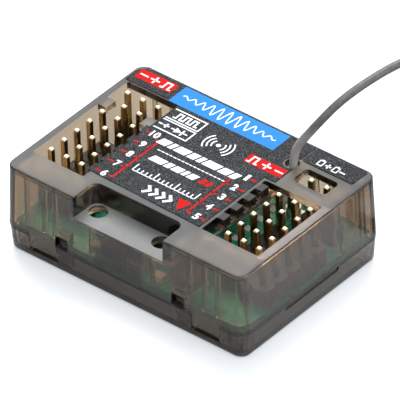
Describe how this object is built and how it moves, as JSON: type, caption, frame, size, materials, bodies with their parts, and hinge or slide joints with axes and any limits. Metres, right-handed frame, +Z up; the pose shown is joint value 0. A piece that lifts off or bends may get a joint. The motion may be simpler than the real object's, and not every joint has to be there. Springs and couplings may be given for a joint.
{
  "type": "rc receiver",
  "caption": "Radio-control receiver in a snap-together smoke plastic case with open pin banks, a printed top label, a peep-hole recess and an aerial lead.",
  "frame": {"origin": "centre of the case's underside, on the surface it lies on", "axes": "+X along the long side to the right when the label is read, +Y away from the reader, +Z up"},
  "size_m": [0.0534, 0.0553, 0.025],
  "materials": {
    "smoke_case": "smoke-tinted clear plastic, satin moulded",
    "board_green": "solder mask",
    "header_black": "moulded",
    "pin_gold": "gold plated",
    "tin_can": "tinned sheet",
    "chip_black": "moulded",
    "solder_tin": "tinned",
    "tantalum_yellow": "moulded",
    "ceramic_tan": "fired ceramic",
    "lamp_milky": "clear resin",
    "sleeve_black": "shrunk tube",
    "lead_grey": "satin jacket",
    "label_print": "printed film"
  },
  "bodies": {
    "root": {"upper_shell": "smoke_case", "bottom_cover": "smoke_case", "main_board": "board_green", "radio_shield": "tin_can", "controller_chip": "chip_black", "controller_leads": "solder_tin", "voltage_regulator": "chip_black", "clock_crystal": "tin_can", "reservoir_capacitors": "tantalum_yellow", "chip_resistors": "chip_black", "chip_capacitors": "ceramic_tan", "status_lamps": "lamp_milky", "aerial_socket": "solder_tin", "aerial_sleeve": "sleeve_black", "top_label": "label_print", "strip_label": "label_print", "aerial_lead": "lead_grey", "aerial_coil": "lead_grey", "header_base_channel_06": "header_black", "pins_channel_06": "pin_gold", "header_base_channel_07": "header_black", "pins_channel_07": "pin_gold", "header_base_channel_08": "header_black", "pins_channel_08": "pin_gold", "header_base_channel_09": "header_black", "pins_channel_09": "pin_gold", "header_base_channel_10": "header_black", "pins_channel_10": "pin_gold", "header_base_lamp": "header_black", "pins_lamp": "pin_gold", "header_base_sum_signal": "header_black", "pins_sum_signal": "pin_gold", "header_base_channel_05": "header_black", "pins_channel_05": "pin_gold", "header_base_channel_04": "header_black", "pins_channel_04": "pin_gold", "header_base_channel_03": "header_black", "pins_channel_03": "pin_gold", "header_base_channel_02": "header_black", "pins_channel_02": "pin_gold", "header_base_channel_01": "header_black", "pins_channel_01": "pin_gold", "header_base_battery": "header_black", "pins_battery": "pin_gold"}
  },
  "joints": []
}
